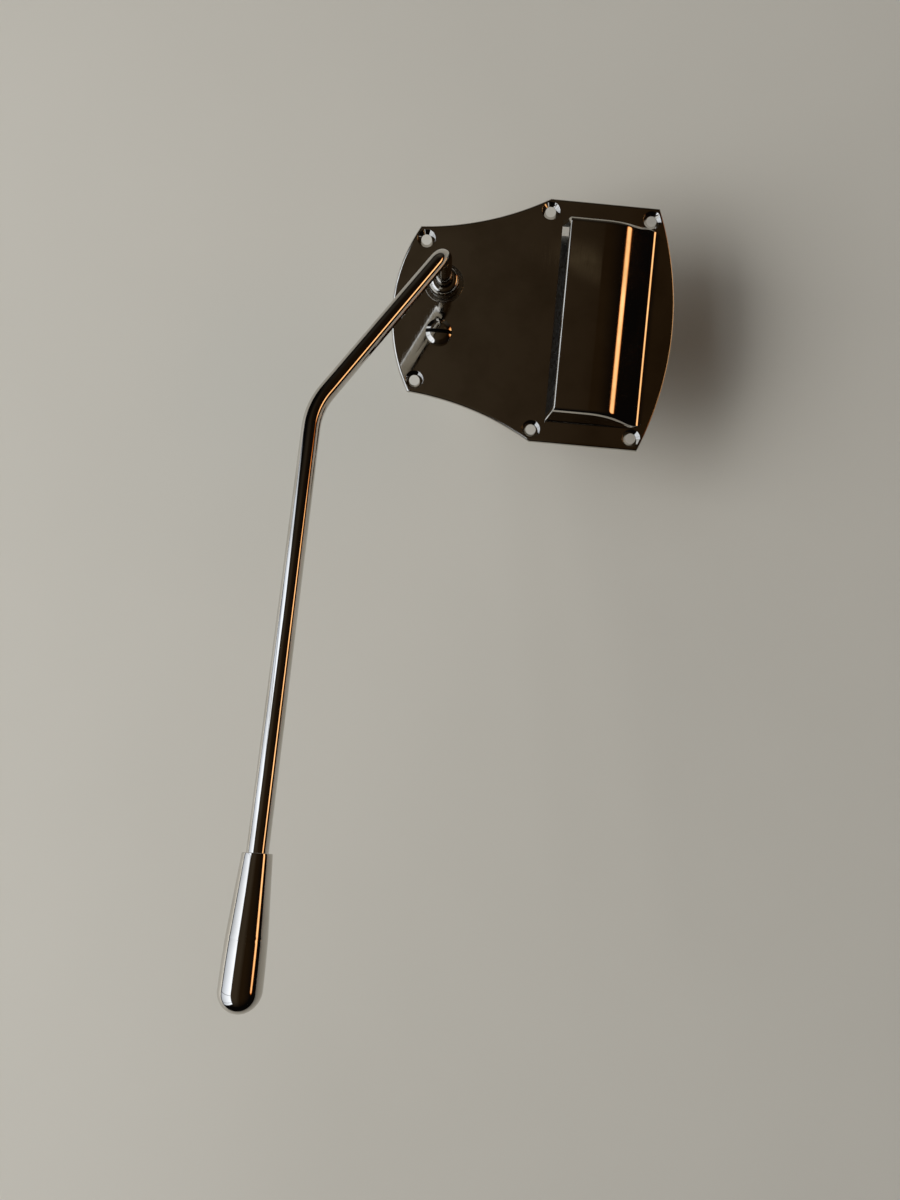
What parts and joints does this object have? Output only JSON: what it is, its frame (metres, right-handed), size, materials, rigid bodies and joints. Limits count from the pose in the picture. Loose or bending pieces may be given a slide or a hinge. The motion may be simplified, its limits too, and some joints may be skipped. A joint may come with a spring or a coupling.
{
  "type": "guitar vibrato tailpiece",
  "caption": "Chromed floating vibrato tailpiece for an offset guitar: plate with pressed hood, knife-edge rocker with string anchor, spring and a bent swing-out arm.",
  "frame": {"origin": "centre of the four rear mounting screw holes, on the plate's seating face", "axes": "+Z is the outward normal of the plate, +X runs along the plate towards the hood end, the arm socket is on the +Y side"},
  "size_m": [0.1187, 0.2419, 0.1453],
  "materials": {
    "chrome_plate": "polished",
    "chrome_arm": "polished",
    "zinc_plate": "satin",
    "zinc_screw": "satin",
    "nickel_plate": "satin",
    "hard_steel": "satin",
    "spring_steel": "satin",
    "nylon": "matte"
  },
  "bodies": {
    "base": {"mounting_plate": "chrome_plate", "fulcrum_bracket": "zinc_plate", "fulcrum_blade": "hard_steel", "bracket_rivets": "hard_steel"},
    "rocker": {"rocker_plate": "zinc_plate", "string_anchor": "nickel_plate", "anchor_screws": "zinc_screw", "socket_body": "nickel_plate", "socket_cap": "chrome_plate", "arm_sleeve": "nylon", "socket_washer": "zinc_plate", "socket_lock_washer": "hard_steel", "socket_nut": "zinc_screw", "upper_spring_seat": "zinc_plate"},
    "arm": {"arm_rod": "chrome_arm", "arm_tip": "chrome_arm"},
    "screw": {"tension_screw": "chrome_plate"},
    "spring_carrier": {"lower_spring_cup": "zinc_plate", "tension_nut": "zinc_screw", "spring": "spring_steel"}
  },
  "joints": [
    {"name": "rocker_tilt", "type": "hinge", "parent": "base", "child": "rocker", "pos_m": [-0.017, 0, -0.0056], "axis": [0, -1, 0], "range_deg": [0, 8], "stiffness_Nm_per_rad": 22.9, "springref_deg": -7.79, "deforming": ["spring"]},
    {"name": "arm_swing", "type": "hinge", "parent": "rocker", "child": "arm", "pos_m": [-0.0534, 0.0099, 0], "axis": [0, 0, 1], "continuous": true},
    {"name": "screw_turn", "type": "hinge", "parent": "base", "child": "screw", "pos_m": [-0.0537, -0.0076, 0], "axis": [0, 0, -1], "range_deg": [0, 1351]},
    {"name": "nut_travel", "type": "slide", "parent": "base", "child": "spring_carrier", "axis": [0, 0, 1], "range_m": [0, 0.003], "deforming": ["spring"]}
  ],
  "couplings": [
    {"joint": "screw_turn", "follows": "nut_travel", "rad_per_m": 7854}
  ]
}
